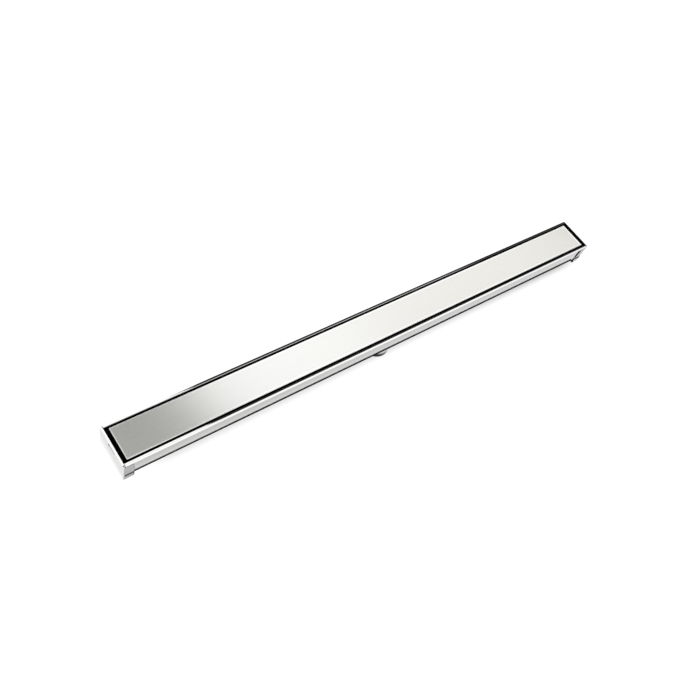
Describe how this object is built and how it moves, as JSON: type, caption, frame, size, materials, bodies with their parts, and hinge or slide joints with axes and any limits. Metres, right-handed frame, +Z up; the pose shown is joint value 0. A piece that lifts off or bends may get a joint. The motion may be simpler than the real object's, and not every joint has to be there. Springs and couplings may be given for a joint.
{
  "type": "linear shower drain",
  "caption": "Long narrow floor drain: polished channel with end caps, a flush satin cover panel with a slot all round it, and a round outlet spigot below the middle.",
  "frame": {"origin": "centre of the lower end of the outlet spigot", "axes": "+X along the drain, +Y across it, +Z up towards the cover panel"},
  "size_m": [1, 0.072, 0.077],
  "materials": {
    "channel_metal": "bright polished, clear anodised",
    "cap_metal": "bright polished",
    "panel_steel": "satin brushed along its length",
    "fitting_steel": "pickled",
    "outlet_alloy": "fine cast",
    "seal_rubber": "matt",
    "support_plastic": "fine moulded grain"
  },
  "bodies": {
    "root": {"channel": "channel_metal", "end_cap_left": "cap_metal", "end_cap_right": "cap_metal", "end_seal_left": "seal_rubber", "end_seal_right": "seal_rubber", "cover_panel": "panel_steel", "outlet_body": "outlet_alloy", "outlet_gasket": "seal_rubber", "outlet_screws": "fitting_steel", "strainer_basket": "fitting_steel", "strainer_handle": "fitting_steel", "panel_support_1": "support_plastic", "support_pads_1": "seal_rubber", "panel_support_2": "support_plastic", "support_pads_2": "seal_rubber", "panel_support_3": "support_plastic", "support_pads_3": "seal_rubber", "panel_support_4": "support_plastic", "support_pads_4": "seal_rubber"}
  },
  "joints": []
}
